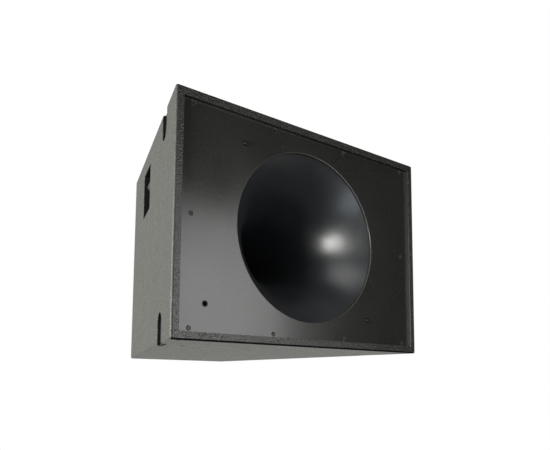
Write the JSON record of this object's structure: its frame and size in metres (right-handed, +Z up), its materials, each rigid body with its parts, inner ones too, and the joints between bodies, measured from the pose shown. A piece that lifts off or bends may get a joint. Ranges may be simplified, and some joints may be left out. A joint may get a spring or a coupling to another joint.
{
  "type": "loudspeaker cabinet",
  "caption": "Tapered plywood loudspeaker cabinet with a round glossy horn behind a framed front plate, bar handles in side recesses, rigging points and a rear connector dish.",
  "frame": {"origin": "centre of the flat underside, at the middle of the overall bounding box", "axes": "+Z up, the horn mouth faces -Y, the narrow rear faces +Y, +X to the right when seen from the rear"},
  "size_m": [0.717, 0.64, 0.525],
  "materials": {
    "cabinet_paint": "textured dark grey paint on plywood",
    "plywood": "bare birch plywood",
    "plate_paint": "smooth satin dark grey paint on board",
    "black_steel": "black passivated steel",
    "zinc_steel": "zinc plated",
    "black_plastic": "moulded, fine grain",
    "grip_rubber": "matt",
    "foam": "open-cell foam",
    "horn_gloss": "glossy black gelcoat over glass-fibre",
    "cast_frame": "cast, black coated",
    "ferrite": "sintered ferrite",
    "cone_paper": "pressed paper",
    "cloth": "doped corrugated cloth",
    "copper": "enamelled copper wire",
    "dish_steel": "black powder coat",
    "board": "glass-epoxy board",
    "capacitor_film": "wrapped film",
    "lead_sheath": "flexible insulated lead"
  },
  "bodies": {
    "cabinet": {"baffle_cleats": "plywood", "board_screws": "zinc_steel", "board_standoffs": "black_plastic", "bottom_panel": "cabinet_paint", "bottom_rigging_bushes": "black_steel", "bulkhead": "plywood", "capacitors": "capacitor_film", "connector_dish": "dish_steel", "crossover_board": "board", "damping_pads": "foam", "dish_screws": "black_steel", "driver_basket": "cast_frame", "driver_bolts": "black_steel", "driver_gasket": "foam", "driver_lead": "lead_sheath", "driver_terminals": "black_plastic", "front_plate": "plate_paint", "front_plate_screws": "black_steel", "grille_catch": "black_plastic", "grille_studs": "black_steel", "handle_bar_left": "black_steel", "handle_bar_right": "black_steel", "handle_cup_left": "black_plastic", "handle_cup_right": "black_plastic", "handle_grip_left": "grip_rubber", "handle_grip_right": "grip_rubber", "handle_screws_left": "black_steel", "handle_screws_right": "black_steel", "horn_flange_screws": "black_steel", "horn_flare": "horn_gloss", "horn_gasket": "foam", "inductor_bobbin": "black_plastic", "inductor_winding": "copper", "input_leads": "lead_sheath", "input_socket": "black_plastic", "left_side_panel": "cabinet_paint", "link_socket": "black_plastic", "magnet_back_plate": "zinc_steel", "magnet_ring": "ferrite", "magnet_top_plate": "zinc_steel", "rear_cleats": "plywood", "rear_panel": "cabinet_paint", "rigging_plate_left_bottom": "black_steel", "rigging_plate_left_top": "black_steel", "rigging_plate_right_bottom": "black_steel", "rigging_plate_right_top": "black_steel", "rigging_plate_screws": "black_steel", "right_side_panel": "cabinet_paint", "socket_screws": "black_steel", "sub_baffle": "plywood", "terminal_blocks": "black_plastic", "throat_flange_screws": "black_steel", "top_panel": "cabinet_paint", "top_rigging_bushes": "black_steel"},
    "diaphragm": {"driver_cone": "cone_paper", "dust_cap": "cone_paper", "voice_coil": "copper", "cone_surround": "cloth", "spider": "cloth"}
  },
  "joints": [
    {"name": "diaphragm_travel", "type": "slide", "parent": "cabinet", "child": "diaphragm", "axis": [0, 1, 0], "range_m": [-0.004, 0.004], "stiffness_N_per_m": 4000, "deforming": ["cone_surround", "spider"]}
  ]
}
